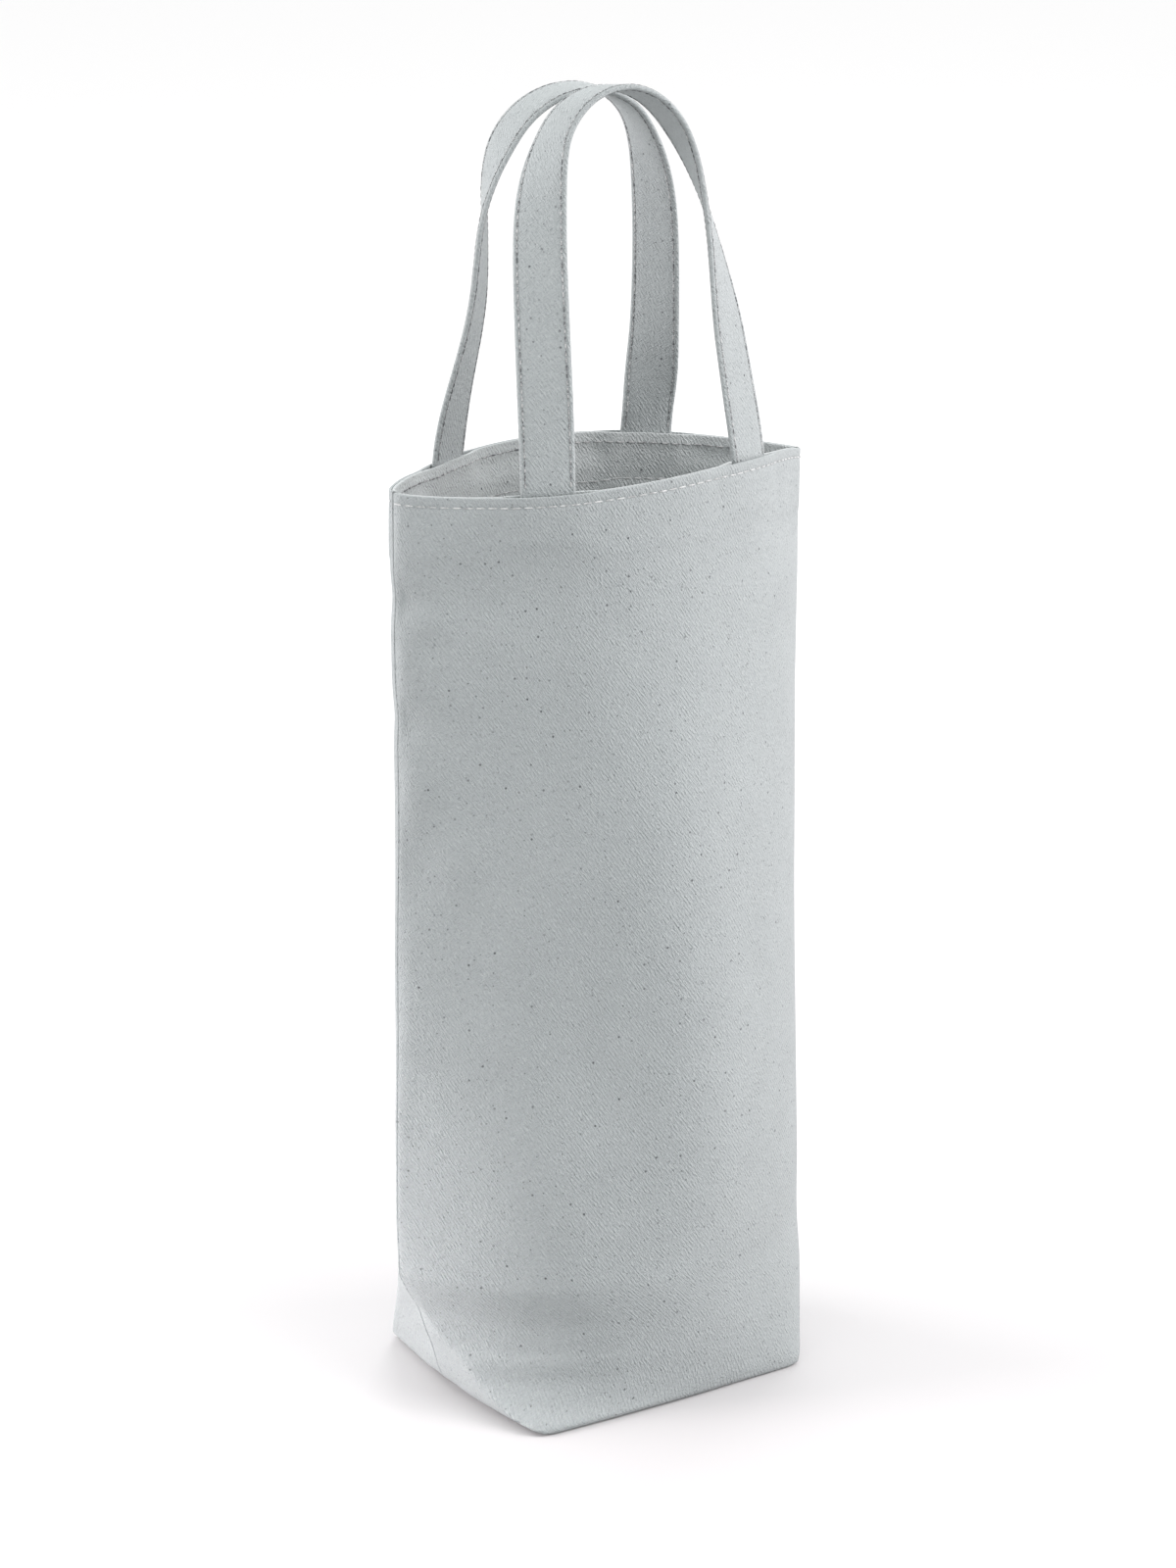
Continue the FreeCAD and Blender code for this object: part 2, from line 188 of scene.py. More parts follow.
class BagSizes(bpy.types.PropertyGroup):
    """Sizes of the bag's body."""

    body_height: length("Body height", "Floor to the middle of the rim", 0.340)
    base_width: length("Base width", "Width of the base", 0.110)
    base_depth: length("Base depth", "Depth of the base, front to rear", 0.110)
    seam_span: length("Seam span", "Distance between the two side seams", 0.1703)
    fold_height: length("Corner fold height", "Height of the folded bottom corners", 0.050)
    belly_depth: length("Belly depth", "Depth of the body where it is fullest", 0.102)
    belly_height: length("Belly height", "Height at which the belly depth is taken", 0.190)
    front_lip: length("Front lip", "How far the front rim bows out from the side seams", 0.0409)
    rear_lip: length("Rear lip", "How far the rear rim bows out from the side seams", 0.0438)
    rim_flare: length("Rim flare", "How far the rim spreads out from the facing's foot", 0.0009)
    hem_swell: length("Hem swell", "How far the facing behind it fills the panel out", 0.0004)
    row_drop: length("Rim row drop", "Rim to the row of stitches below it", 0.0036)
    row_groove: length("Rim row groove", "How deep that row draws the cloth in", 0.0003)
    lean: length("Lean", "How far the rim leans to the front", 0.0037)
    rim_droop: length("Rim droop", "How far the rim drops at the side seams", 0.0039)
    lip_wave: length("Lip wave", "How unevenly the rim rises and falls", 0.0024)
    gusset_bow: length("Gusset bow", "How far the gusset's foot bows out at its seam", 0.0050)
    base_round: length("Base rounding", "Radius of the soft fold round the base", 0.0034)
    fold_soft: length("Fold softness", "How softly the corner folds turn", 0.0008)
    cloth: length("Cloth", "Thickness of the canvas", 0.0010)
    allowance: length("Seam allowance", "Cloth turned inside at each seam", 0.0090)
    facing_depth: length("Facing depth", "Depth of the band inside the rim", 0.0240)
    facing_turn: length("Facing turn", "Lower edge of the facing, turned under", 0.0085)
    panel_columns: IntProperty(name="Columns", description="Mesh columns across a panel", default=190, min=40)


class StrapSizes(bpy.types.PropertyGroup):
    """Sizes of the two strap handles."""

    width: length("Strap width", "Width of a strap", 0.0190)
    thickness: length("Strap thickness", "Thickness of the folded strap", 0.0022)
    end_depth: length("Sewn end", "How far a strap's end goes down into the rim", 0.0210)
    bulge: length("Rim bulge", "How far a sewn end pushes the panel out", 0.0008)
    bend: length("Bend length", "Strap length that bends when a handle swings", 0.0120)


class StitchSizes(bpy.types.PropertyGroup):
    """Sizes of the stitches."""

    thread: length("Thread", "Thickness of the sewing thread", 0.0006)
    rim_pitch: length("Rim pitch", "Distance from stitch to stitch round the rim", 0.0040)
    strap_pitch: length("Strap pitch", "Distance from stitch to stitch along a strap", 0.00245)
    strap_inset: length("Strap row inset", "Edge of a strap to its row of stitches", 0.0017)
    facing_rise: length("Facing row rise", "Facing's lower edge to its row of stitches", 0.0060)
    seam_pitch: length("Seam pitch", "Distance from stitch to stitch in the seams", 0.0032)
    seam_inset: length("Seam row inset", "Seam to its row of stitches inside", 0.0060)
    sewn_share: share("Sewn share", "Share of the pitch that shows as thread", 0.88)


class ClothFinish(bpy.types.PropertyGroup):
    """Colours and weave of the canvas and thread."""

    cloth_light: colour("Yarn", "Colour of the raised yarn", (0.342, 0.372, 0.3745))
    cloth_dark: colour("Gaps", "Colour between the yarns", (0.2285, 0.2505, 0.254))
    # Painted light: the facings' colours are the canvas's own colours made about a quarter lighter, standing in for
    # light that shines through the cloth into the bag.
    lining_light: colour("Lining yarn", "Colour of the raised yarn of the facings", (0.439, 0.470, 0.470))
    lining_dark: colour("Lining gaps", "Colour between the yarns of the facings", (0.294, 0.3165, 0.319))
    fleck: colour("Flecks", "Colour of the dark seed flecks", (0.06, 0.065, 0.07))
    # The threads' darker colours are painted shade, where the thread sinks into the cloth at its needle holes.
    thread_light: colour("Rim thread", "Colour of the rim's and seams' thread", (0.50, 0.515, 0.515))
    thread_dark: colour("Rim thread shade", "Colour where that thread sinks in", (0.27, 0.28, 0.28))
    strap_thread_light: colour("Strap thread", "Colour of the straps' thread", (0.40, 0.41, 0.41))
    strap_thread_dark: colour("Strap thread shade", "Colour where that thread sinks in", (0.075, 0.08, 0.085))
    twill_pitch: length("Twill pitch", "Distance between the weave's slanting ribs", 0.00125)
    twill_angle: FloatProperty(
        name="Twill angle", description="Slant of the ribs from level", default=math.radians(55), subtype="ANGLE"
    )


class StageSetup(bpy.types.PropertyGroup):
    """Floor, lights and camera."""

    floor_near: colour("Floor", "Colour of the floor round the bag", (0.50, 0.50, 0.504))
    floor_far: colour("Far floor", "Colour of the floor far off", (0.96, 0.96, 0.96))
    sky_strength: FloatProperty(name="Sky", description="Strength of the light from all round", default=1.0, min=0.0)
    right_power: power("Right lamp", "Power of the soft lamp in front on the right", 27.2)
    front_power: power("Front lamp", "Power of the soft lamp high in front", 11.0)
    rear_left_power: power("Rear left lamp", "Power of the soft lamp behind on the left", 13.0)
    rear_right_power: power("Rear right lamp", "Power of the soft lamp behind on the right", 13.0)
    side_tint: colour("Side tint", "Colour of the lamps on the right and on the left", (1.0, 0.92, 0.935))
    left_power: power("Left lamp", "Power of the tall strip of light on the left", 4.6)
    low_power: power("Low lamp", "Power of the small lamp near the floor on the left", 0.21)
    azimuth: FloatProperty(
        name="View azimuth", description="Camera's turn about the bag", default=math.radians(-33.62), subtype="ANGLE"
    )
    elevation: FloatProperty(
        name="View elevation", description="Camera's height angle", default=math.radians(16.8), subtype="ANGLE"
    )
    distance: length("View distance", "Camera to the point it looks at", 1.5634)
    focal: FloatProperty(name="Lens", description="Focal length in millimetres", default=100.41, min=1.0)


def through(table, x, column=1):
    """A smooth curve through a column of a table, over its first, that never overshoots the rows, read at x."""
    xs, ys = np.array(table, float).T[[0, column]]
    step = np.diff(xs)
    slope = np.diff(ys) / step
    both = slope[:-1] * slope[1:]
    mean = np.where(both > 0, 2 * both / np.where(both > 0, slope[:-1] + slope[1:], 1), 0)
    tangent = np.concatenate([slope[:1], mean, slope[-1:]])
    i = np.clip(np.searchsorted(xs, x) - 1, 0, len(step) - 1)
    t = np.clip((x - xs[i]) / step[i], 0, 1)
    low = ys[i] * (1 + 2 * t) * (1 - t) ** 2 + tangent[i] * step[i] * t * (1 - t) ** 2
    high = ys[i + 1] * t * t * (3 - 2 * t) - tangent[i + 1] * step[i] * t * t * (1 - t)
    return low + high


def ease(t):
    """Nought below 0, one above 1, and smooth between."""
    t = np.clip(t, 0, 1)
    return t * t * (3 - 2 * t)


def hump(x):
    """A soft bell of height one."""
    return np.exp(-x * x)


def unit(rows):
    """Rows of vectors at length one."""
    return rows / np.linalg.norm(rows, axis=-1, keepdims=True)


def run_lengths(points):
    """Distance along a line of points at each of them."""
    return np.concatenate([[0.0], np.cumsum(np.linalg.norm(np.diff(points, axis=0), axis=1))])


def read_line(points, where):
    """Points of a line at distances along it."""
    along = run_lengths(points)
    return np.stack([np.interp(where, along, points[:, k]) for k in range(points.shape[1])], 1)


class BagForm:
    """The form of the standing bag, from which every piece of cloth and thread takes its place."""

    SAMPLES = 720

    def __init__(self, scene):
        self.bag = scene.bag_sizes
        self.straps = scene.strap_sizes
        self.sections = {}

    def fold(self, z, side, hand):
        """How far a corner's fold stands out to its side, how much of its gusset is flat, and its seam's place."""
        bag = self.bag
        base_half, seam_half = bag.base_width / 2, bag.seam_span / 2
        rise = min(max(z / bag.fold_height, 0.0), 1.0)
        above = ease((z - bag.fold_height) / (bag.fold_height / 2))

        def reach(table):
            spread = through(table, rise, 1)
            return base_half + (spread + (1 - spread) * above) * (seam_half - base_half)

        table = SLUMPED_FOLD if (side, hand) == (FRONT, LEFT) else FOLD
        seam_table = SLUMPED_FOLD if hand == LEFT else FOLD
        height = z / bag.body_height
        wave = sum(deep * MM * hump((height - h) / tall) for on, h, tall, deep in SEAM_WAVES if on == hand)
        flat = through(table, rise, 2) * bag.base_depth / 2
        return reach(table) - wave, flat, reach(seam_table) - wave + bag.gusset_bow * through(seam_table, rise, 2)

    def section(self, z, side):
        """Half of the level section at a height, left seam to right seam, evenly spaced."""
        key = (round(z, 6), side)
        if key not in self.sections:
            bag = self.bag
            lip = bag.front_lip if side == FRONT else bag.rear_lip
            depth = through(
                [(0.0, bag.base_depth / 2), (bag.fold_height, bag.base_depth / 2),
                 (bag.belly_height, bag.belly_depth / 2), (bag.body_height - bag.facing_depth, lip - bag.rim_flare),
                 (bag.body_height, lip)], z)
            left_bow, right_bow = (through(BOW_SHARES, z / bag.body_height, column)
                                   for column in (1, 2 if side == FRONT else 1))
            drop = max(bag.base_round - z, 0.0)
            tuck = bag.base_round - math.sqrt(bag.base_round ** 2 - drop ** 2)
            left, left_flat, left_seam = np.array(self.fold(z, side, LEFT)) - tuck
            right, right_flat, right_seam = np.array(self.fold(z, side, RIGHT)) - tuck
            pole = (8 * (depth - tuck) - left_flat - right_flat) / 6
            poles = [(-left, left_flat), (-left * left_bow, pole), (right * right_bow, pole), (right, right_flat)]
            t = np.linspace(0, 1, self.SAMPLES)[:, None]
            weights = ((1 - t) ** 3, 3 * t * (1 - t) ** 2, 3 * t * t * (1 - t), t ** 3)
            curve = sum(w * np.array(p) for w, p in zip(weights, poles))
            line = np.concatenate([[(-left_seam, 0.0)], curve, [(right_seam, 0.0)]])
            line = read_line(line, np.linspace(0, run_lengths(line)[-1], self.SAMPLES))
            self.sections[key] = self.soften(line, z)
        return self.sections[key]

    def soften(self, line, z):
        """Rounds a line's folds, and more roundly its ends, where the cloth turns at the side seams."""
        soft = self.rounded(line, self.bag.fold_soft)
        along = run_lengths(line)
        for column, end, away in ((1, 0, along), (2, -1, along[-1] - along)):
            turn = MM * through(SEAM_TURNS, z / self.bag.body_height, column)
            blunt = self.rounded(line, turn)
            blunt[:, 0] += line[end, 0] - blunt[end, 0]
            near = hump(away / (2.5 * turn))[:, None]
            soft = soft * (1 - near) + blunt * near
        return soft

    @staticmethod
    def rounded(line, turn):
        """A line evened out over a length, as if it went on past its ends in the other panel."""
        spacing = run_lengths(line)[-1] / (len(line) - 1)
        reach = int(3 * turn / spacing) + 1
        bell = hump(np.arange(-reach, reach + 1) * spacing / (turn * math.sqrt(2)))
        before = line[reach:0:-1] * (1, -1)
        after = line[-2:-reach - 2:-1] * (1, -1)
        long_line = np.concatenate([before, line, after])
        return np.stack([np.convolve(long_line[:, k], bell / bell.sum(), "valid") for k in (0, 1)], 1)

    def at(self, across, z, side):
        """Points of a panel's outer face at shares of its girth and a height."""
        bag = self.bag
        line = self.section(z, side)
        shares = np.linspace(0, 1, len(line))
        tangent = unit(np.gradient(line, axis=0))
        x, y = (np.interp(across, shares, line[:, k]) for k in (0, 1))
        out_x, out_y = (np.interp(across, shares, k) for k in (-tangent[:, 1], tangent[:, 0]))
        rise = z / bag.body_height
        moved = self.swell(across, x, rise, side)
        x = x + out_x * moved
        y = np.maximum(y + out_y * moved, bag.cloth / 10)
        s = x / (bag.seam_span / 2)
        if side == FRONT:
            wave = FRONT_WAVE[0] * s - FRONT_WAVE[1] * s ** 3
        else:
            high, place, half = REAR_WAVE
            wave = high * hump((s - place) / half) - s ** 3
        height = z - bag.rim_droop * s * s * rise ** 4 + bag.lip_wave * wave * rise ** 6
        return np.stack([x, side * y + self.middle(z), height + self.lift(x, y, z)], 1)

    def middle(self, z):
        """Where the two panels meet, front to rear: the bag leans forward."""
        return -self.bag.lean * (z / self.bag.body_height) ** 2

    def swell(self, across, x, rise, side):
        """How far the cloth stands out of its plain form: soft hollows, and the sewn strap ends."""
        out = np.zeros_like(x)
        for u, h, wide, tall, deep in HOLLOWS[side]:
            out -= deep * MM * hump((across - u) / wide) * hump((rise - h) / tall)
        top = self.bag.body_height * (1 - rise)
        hem = self.bag.hem_swell * ease((self.bag.facing_depth - top) / HEM_EDGE + 0.5)
        hem -= self.bag.row_groove * hump((top - self.bag.row_drop) / GROOVE_HALF)
        from_seam = ease(np.minimum(across, 1 - across) / SEAM_SHARE)
        return (out + hem) * from_seam + self.strap_swell(x, side) * ease((self.straps.end_depth - top) / STRAP_FOOT)

    def strap_swell(self, x, side):
        """The bulge over the sewn strap ends."""
        half = self.straps.width / 2
        near = np.minimum(*(np.abs(x - foot * MM) for foot in STRAP_FEET[side]))
        return self.straps.bulge * ease((half + STRAP_SHOULDER - near) / STRAP_SHOULDER)

    def lift(self, x, y, z):
        """How far the corner seams stand off the floor."""
        edge = ease((np.abs(x) - LIFT_START) / LIFT_RUN) * (1 - ease(z / LIFT_FADE))
        return edge * LIFT_HEIGHT * hump(y / LIFT_HALF)

    def normal(self, across, z, side):
        """Outward normals of a panel."""
        over, step = 0.002, 0.5 * MM
        along = self.at(np.minimum(across + over, 1), z, side) - self.at(np.maximum(across - over, 0), z, side)
        up = self.at(across, z + step, side) - self.at(across, z - step, side)
        return unit(np.cross(along, up) * -side)

    def across_at(self, x, z, side):
        """Share of the girth at which a panel reaches a place x."""
        line = self.section(z, side)
        middle = slice(len(line) // 8, -len(line) // 8)
        return float(np.interp(x, line[middle, 0], np.linspace(0, 1, len(line))[middle]))


def grid_mesh(rows, over, along):
    """A bmesh sheet through a table of points, one row of the table to one row of the sheet.

    Its uv map holds each column's place over the flat cloth and each row's along it, in metres."""
    rows = np.asarray(rows)
    down, across = rows.shape[:2]
    bm = bmesh.new()
    bmesh.ops.create_grid(bm, x_segments=across - 1, y_segments=down - 1, size=0.5)
    bm.verts.ensure_lookup_table()
    layer = bm.loops.layers.uv.new("cloth")
    for v in bm.verts:
        i = round((v.co.x + 0.5) * (across - 1))
        j = round((0.5 - v.co.y) * (down - 1))
        v.co = Vector(rows[j, i])
        for loop in v.link_loops:
            loop[layer].uv = (over[i], -along[j])
    return bm


def finish_mesh(bm, name, material):
    """Makes a bmesh an object with a material, smooth but for its sharp edges."""
    mesh = bpy.data.meshes.new(name)
    bm.to_mesh(mesh)
    bm.free()
    for polygon in mesh.polygons:
        polygon.use_smooth = True
    mesh.set_sharp_from_angle(angle=SHARP_ANGLE)
    mesh.materials.append(material)
    piece = bpy.data.objects.new(name, mesh)
    bpy.context.scene.collection.objects.link(piece)
    return piece


def thicken(bm, thickness):
    """Gives a sheet its thickness on the inner side and rounds its cut edges."""
    bm.normal_update()
    facing = bm.verts.layers.float_vector.new("facing")
    for v in bm.verts:
        v[facing] = v.normal
    made = bmesh.ops.extrude_face_region(bm, geom=bm.faces[:], use_keep_orig=True)["geom"]
    for v in made:
        if isinstance(v, bmesh.types.BMVert):
            v.co -= thickness * v[facing]
    bm.verts.layers.float_vector.remove(facing)
    bmesh.ops.recalc_face_normals(bm, faces=bm.faces[:])
    cut = [e for e in bm.edges if e.is_manifold and e.calc_face_angle() > CUT_ANGLE]
    bmesh.ops.bevel(
        bm, geom=cut, offset=EDGE_ROUND * thickness, offset_type="OFFSET", affect="EDGES", segments=2, profile=0.5,
        material=-1,
    )
    bmesh.ops.dissolve_degenerate(bm, dist=1e-6, edges=bm.edges[:])
    flaps = [f for f in bm.faces if sum(e.is_boundary for e in f.edges) > 1]
    bmesh.ops.delete(bm, geom=flaps, context="FACES")


class Value:
    """A node's number socket that takes part in sums as Math nodes."""

    def __init__(self, paint, socket):
        self.paint = paint
        self.socket = socket

    def sum(self, operation, first, second=0.0):
        node = self.paint.node("ShaderNodeMath", {"operation": operation}, {0: first, 1: second})
        return Value(self.paint, node.outputs[0])

    def __add__(self, other):
        return self.sum("ADD", self, other)

    def __sub__(self, other):
        return self.sum("SUBTRACT", self, other)

    def __mul__(self, other):
        return self.sum("MULTIPLY", self, other)

    def __rsub__(self, other):
        return self.sum("SUBTRACT", other, self)

    def __lt__(self, other):
        return self.sum("LESS_THAN", self, other)

    def sine(self):
        return self.sum("SINE", self)

    __radd__ = __add__
    __rmul__ = __mul__


class Paint:
    """A material and the short words its nodes are made with."""

    def __init__(self, name):
        self.material = bpy.data.materials.new(name)
        self.material.use_nodes = True
        self.tree = self.material.node_tree
        self.shader = self.tree.nodes["Principled BSDF"]

    def node(self, kind, settings=None, sockets=None):
        """Adds a node: its settings first, then its sockets' values or links."""
        node = self.tree.nodes.new(kind)
        for key, value in (settings or {}).items():
            setattr(node, key, value)
        self.feed(node, sockets or {})
        return node

    def feed(self, node, sockets):
        for key, value in sockets.items():
            value = value.socket if isinstance(value, Value) else value
            if isinstance(value, bpy.types.NodeSocket):
                self.tree.links.new(value, node.inputs[key])
            else:
                node.inputs[key].default_value = value

    def value(self, socket):
        return Value(self, socket)

    def mix(self, share, first, second):
        """A colour between two."""
        colours = {6: first if isinstance(first, bpy.types.NodeSocket) else (*first, 1.0),
                   7: second if isinstance(second, bpy.types.NodeSocket) else (*second, 1.0)}
        node = self.node("ShaderNodeMix", {"data_type": "RGBA"}, {0: share, **colours})
        return node.outputs[2]

    def noise(self, vector, scale, detail=2.0, stretch=(1.0, 1.0, 1.0), shift=0.0):
        """Smooth chance, stretched along its axes; another shift gives another draw."""
        place = self.node(
            "ShaderNodeVectorMath", {"operation": "MULTIPLY_ADD"}, {0: vector, 1: stretch, 2: (shift, shift, shift)}
        )
        node = self.node("ShaderNodeTexNoise", {}, {"Vector": place.outputs[0], "Scale": scale, "Detail": detail})
        return self.value(node.outputs["Fac"])

    def spots(self, vector, spacing, radius, share, shift=0.0):
        """Small round spots of uneven strength in a share of the cells of an uneven grid."""
        place = self.node("ShaderNodeVectorMath", {"operation": "ADD"}, {0: vector, 1: (shift, shift, 0.0)})
        cells = self.node("ShaderNodeTexVoronoi", {"voronoi_dimensions": "2D"}, {
            "Vector": place.outputs[0], "Scale": 1 / spacing})
        drawn = self.node("ShaderNodeSeparateColor", {}, {0: cells.outputs["Color"]})
        chance, strength = (self.value(drawn.outputs[k]) for k in (0, 1))
        away = self.value(cells.outputs["Distance"])
        return (1 - self.between(away, 0.35 * radius / spacing, radius / spacing)) * (chance < share) * strength

    def between(self, value, low, high):
        """Nought below low, one above high, smooth between."""
        node = self.node(
            "ShaderNodeMapRange", {"interpolation_type": "SMOOTHSTEP"},
            {"Value": value, "From Min": low, "From Max": high},
        )
        return self.value(node.outputs["Result"])


def canvas_paint(name, dark, light):
    """Twill canvas: broken slanting ribs, uneven yarn and seed flecks, on the cloth's own uv map."""
    finish = bpy.context.scene.cloth_finish
    paint = Paint(name)
    uv = paint.node("ShaderNodeUVMap", {"uv_map": "cloth"}).outputs["UV"]
    place = paint.node("ShaderNodeVectorMath", {"operation": "SCALE"}, {0: uv, "Scale": 1 / MM}).outputs[0]
    parts = paint.node("ShaderNodeSeparateXYZ", {}, {0: place})
    x, y = paint.value(parts.outputs["X"]), paint.value(parts.outputs["Y"])
    turn = 2 * math.pi / (finish.twill_pitch / MM)
    across, along = math.sin(finish.twill_angle), math.cos(finish.twill_angle)
    # Ribs and the steps along them, less clear where the cloth is worn.
    wander = paint.noise(place, 0.45, 3.0) - 0.5
    over, down = x * across + y * along, x * along - y * across
    ribs = paint.node("ShaderNodeCombineXYZ", {}, {0: over, 1: down}).outputs[0]
    rib = ((over + wander * 1.3) * turn).sine() * 0.5 + 0.5
    steps = ((down + wander * 0.8) * (turn * 1.55)).sine() * 0.5 + 0.5
    worn = paint.between(paint.noise(place, 0.28, 2.0, shift=7.0), 0.30, 0.70)
    # Uneven yarn along and across the ribs and the cloth, and broad lighter and darker areas.
    strokes = paint.noise(ribs, 2.0, 1.0, stretch=(1.0, 0.28, 1.0), shift=19.0) - 0.5
    crossing = paint.noise(ribs, 2.0, 1.0, stretch=(0.35, 1.1, 1.0), shift=37.0) - 0.5
    warp = paint.noise(place, 1.0, 3.0, stretch=(2.4, 0.7, 1.0), shift=13.0)
    weft = paint.noise(place, 1.0, 3.0, stretch=(0.7, 2.4, 1.0), shift=29.0)
    cloud = paint.noise(place, 0.05, 3.0, shift=41.0)
    weave = rib * (0.05 + 0.45 * worn) + steps * 0.12 + strokes * (0.8 + 1.2 * worn) + crossing
    yarn = warp * 0.5 + weft * 0.5
    tone = weave * 0.55 + yarn + cloud * 0.35 - 0.281
    cloth = paint.mix(tone, dark, light)
    # Soft seeds and two sizes of small dark specks.
    seeds = paint.between(paint.noise(place, 0.80, 1.0, shift=67.0), 0.66, 0.77)
    specks = paint.spots(place, 4.6, 0.60, 0.16) + paint.spots(place, 2.3, 0.42, 0.16, shift=51.0) * 0.75
    cloth = paint.mix(seeds * 0.22 + specks, cloth, finish.fleck)
    bump = paint.node("ShaderNodeBump", {}, {
        "Strength": 0.9, "Distance": 0.42 * MM, "Height": weave * 0.8 + yarn * 0.4})
    paint.feed(paint.shader, {
        "Base Color": cloth, "Roughness": 0.96 - warp * 0.12, "Normal": bump.outputs[0],
        "Specular IOR Level": 0.25, "Sheen Weight": 0.10, "Sheen Roughness": 0.6})
    return paint.material


def thread_paint(name, dark, light):
    """Spun sewing thread, uneven along its twist, with painted shade at its ends, where it sinks into the cloth, and on
    some stitches along a row.
    """
    paint = Paint(name)
    place = paint.node("ShaderNodeTexCoord").outputs["Object"]
    twist = paint.noise(place, 2600.0, 2.0)
    sink_shade = paint.noise(place, 520.0, 1.0, shift=11.0)
    uv = paint.node("ShaderNodeUVMap", {"uv_map": "thread"}).outputs["UV"]
    ends = paint.value(paint.node("ShaderNodeSeparateXYZ", {}, {0: uv}).outputs["X"])
    # Painted shade: the thread darkens towards its ends, and on some stitches by noise, as if sunk into its holes.
    tone = paint.between(twist * 0.35 + sink_shade * 0.9, 0.42, 0.78) * (1 - 0.9 * paint.between(ends, 0.62, 0.98))
    bump = paint.node("ShaderNodeBump", {}, {"Strength": 0.5, "Distance": 0.06 * MM, "Height": twist})
    paint.feed(paint.shader, {
        "Base Color": paint.mix(tone, dark, light), "Roughness": 0.85 - sink_shade * 0.15, "Normal": bump.outputs[0],
        "Specular IOR Level": 0.3})
    return paint.material


# Each material: how it is made, and the colours of the finish that it takes; the facings' canvas takes the lighter
# facing colours, painted light inside the rim.
PAINTS = {
    "twill_canvas": (canvas_paint, "cloth"), "canvas_reverse": (canvas_paint, "lining"),
    "rim_thread": (thread_paint, "thread"), "strap_thread": (thread_paint, "strap_thread"),
}


def paint_named(name):
    """One of the carrier's materials, made at its first use."""
    make, colours = PAINTS[name]
    finish = bpy.context.scene.cloth_finish
    dark, light = (getattr(finish, colours + tone) for tone in ("_dark", "_light"))
    return bpy.data.materials.get(name) or make(name, dark, light)


def panel_sheet(form, side):
    """One body panel as the cloth is cut: wall, gusset halves and half the base, with its seam allowances."""
    bag = form.bag
    columns = bag.panel_columns
    gusset = columns * 2 // 5
    turned = TURNED_ROWS
    shares = np.interp(np.arange(columns + 1), [0, gusset, columns - gusset, columns], [0, *GUSSET_SHARES, 1])
    stops = (bag.body_height, bag.body_height - RIM_BAND, bag.body_height - HEM_BAND, FOOT_BAND, bag.base_round)
    bands = [np.linspace(top, foot, count)[:-1] for top, foot, count in zip(stops, stops[1:], PANEL_ROWS)]
    heights = np.concatenate([*bands, stops[-1:]])
    rows = [form.at(shares, z, side) for z in heights]
    for angle in np.linspace(0, math.pi / 2, ROUND_ROWS + 1)[1:]:
        rows.append(form.at(shares, bag.base_round * (1 - math.sin(angle)), side))
    edge = rows[-1]
    walls = len(rows)
    middle = edge.copy()
    middle[:, 0] = np.interp(shares, [shares[gusset], shares[-1 - gusset]], [edge[0, 0], edge[-1, 0]])
    middle[:, 1] = side * bag.cloth / 10
    for t in np.linspace(0, 1, BASE_ROWS + 1)[1:]:
        rows.append(edge * (1 - t) + middle * t)
    for k in range(1, turned + 1):
        up = middle.copy()
        up[:, 2] += bag.allowance * k / turned
        rows.append(up)

    def turned_up(point, k):
        """A point of a corner seam's allowance, which turns up inside, less so near the corner."""
        near = ease((CORNER_SEWN * bag.base_depth - abs(point[1])) / (CORNER_FADE * bag.base_depth))
        return point + np.array([0, 0, bag.allowance * k / turned * near + 0.2 * MM * k])

    for k in range(1, turned + 1):
        for i in [*range(gusset - turned), *range(columns + 1 - gusset + turned, columns + 1)]:
            rows[walls - 1 + k][i] = turned_up(edge[i], k)
    for row in rows[walls:]:
        for k in range(1, turned + 1):
            for i, j in ((gusset - k, gusset), (columns - gusset + k, columns - gusset)):
                row[i] = turned_up(row[j], k)
    # The side seams' edges turn in, less so behind the facing.
    steps = np.arange(turned, 0, -1)[:, None] / turned
    sheet = []
    for j, row in enumerate(rows):
        z = heights[j] if j < len(heights) else 0.0
        free = ease((bag.body_height - bag.facing_depth - 1 * MM - z) / (6 * MM))
        reach = np.array([CAUGHT + (bag.allowance - CAUGHT) * free, 0, 0])
        sheet.append(np.concatenate([row[0] + steps * reach, row, row[-1] - steps[::-1] * reach]))
    sheet = np.array(sheet)
    girth = run_lengths(form.at(shares, bag.fold_height, side))[-1]
    down = run_lengths(sheet[:, turned + columns // 2])
    edge_step = np.arange(1, turned + 1) / columns
    bm = grid_mesh(sheet, girth * np.concatenate([-edge_step[::-1], shares, 1 + edge_step]), down)
    count = sheet.shape[1]

    def unused(face):
        """Whether a face lies in the corner squares that the boxed corner leaves out of the cut."""
        index = [v.index for v in face.verts]
        i = min(n % count for n in index) - turned
        j = len(sheet) - 1 - max(n // count for n in index)
        inside = gusset <= i < columns - gusset
        if j < walls - 1 or inside:
            return False
        if i < 0 or i >= columns:
            return True
        foot = j < walls - 1 + turned and (i < gusset - turned - 1 or i >= columns - gusset + turned + 1)
        flap = j >= walls + turned and gusset - turned <= i < columns - gusset + turned and j < walls - 1 + BASE_ROWS
        return not (foot or flap)

    bm.verts.index_update()
    bmesh.ops.delete(bm, geom=[f for f in bm.faces if unused(f)], context="FACES")
    return bm


def lay_cloth(bm, side, thickness, name, paint, node):
    """Makes a sheet a piece of cloth that is part of the bag and stands for a node."""
    if side == REAR:
        bmesh.ops.reverse_faces(bm, faces=bm.faces[:])
    thicken(bm, thickness)
    piece = finish_mesh(bm, name, paint_named(paint))
    join_bag(piece, node)
    return piece


def join_bag(piece, node):
    """Makes a piece part of the bag, where it stands for a node."""
    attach(piece, "bag")
    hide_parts(node)


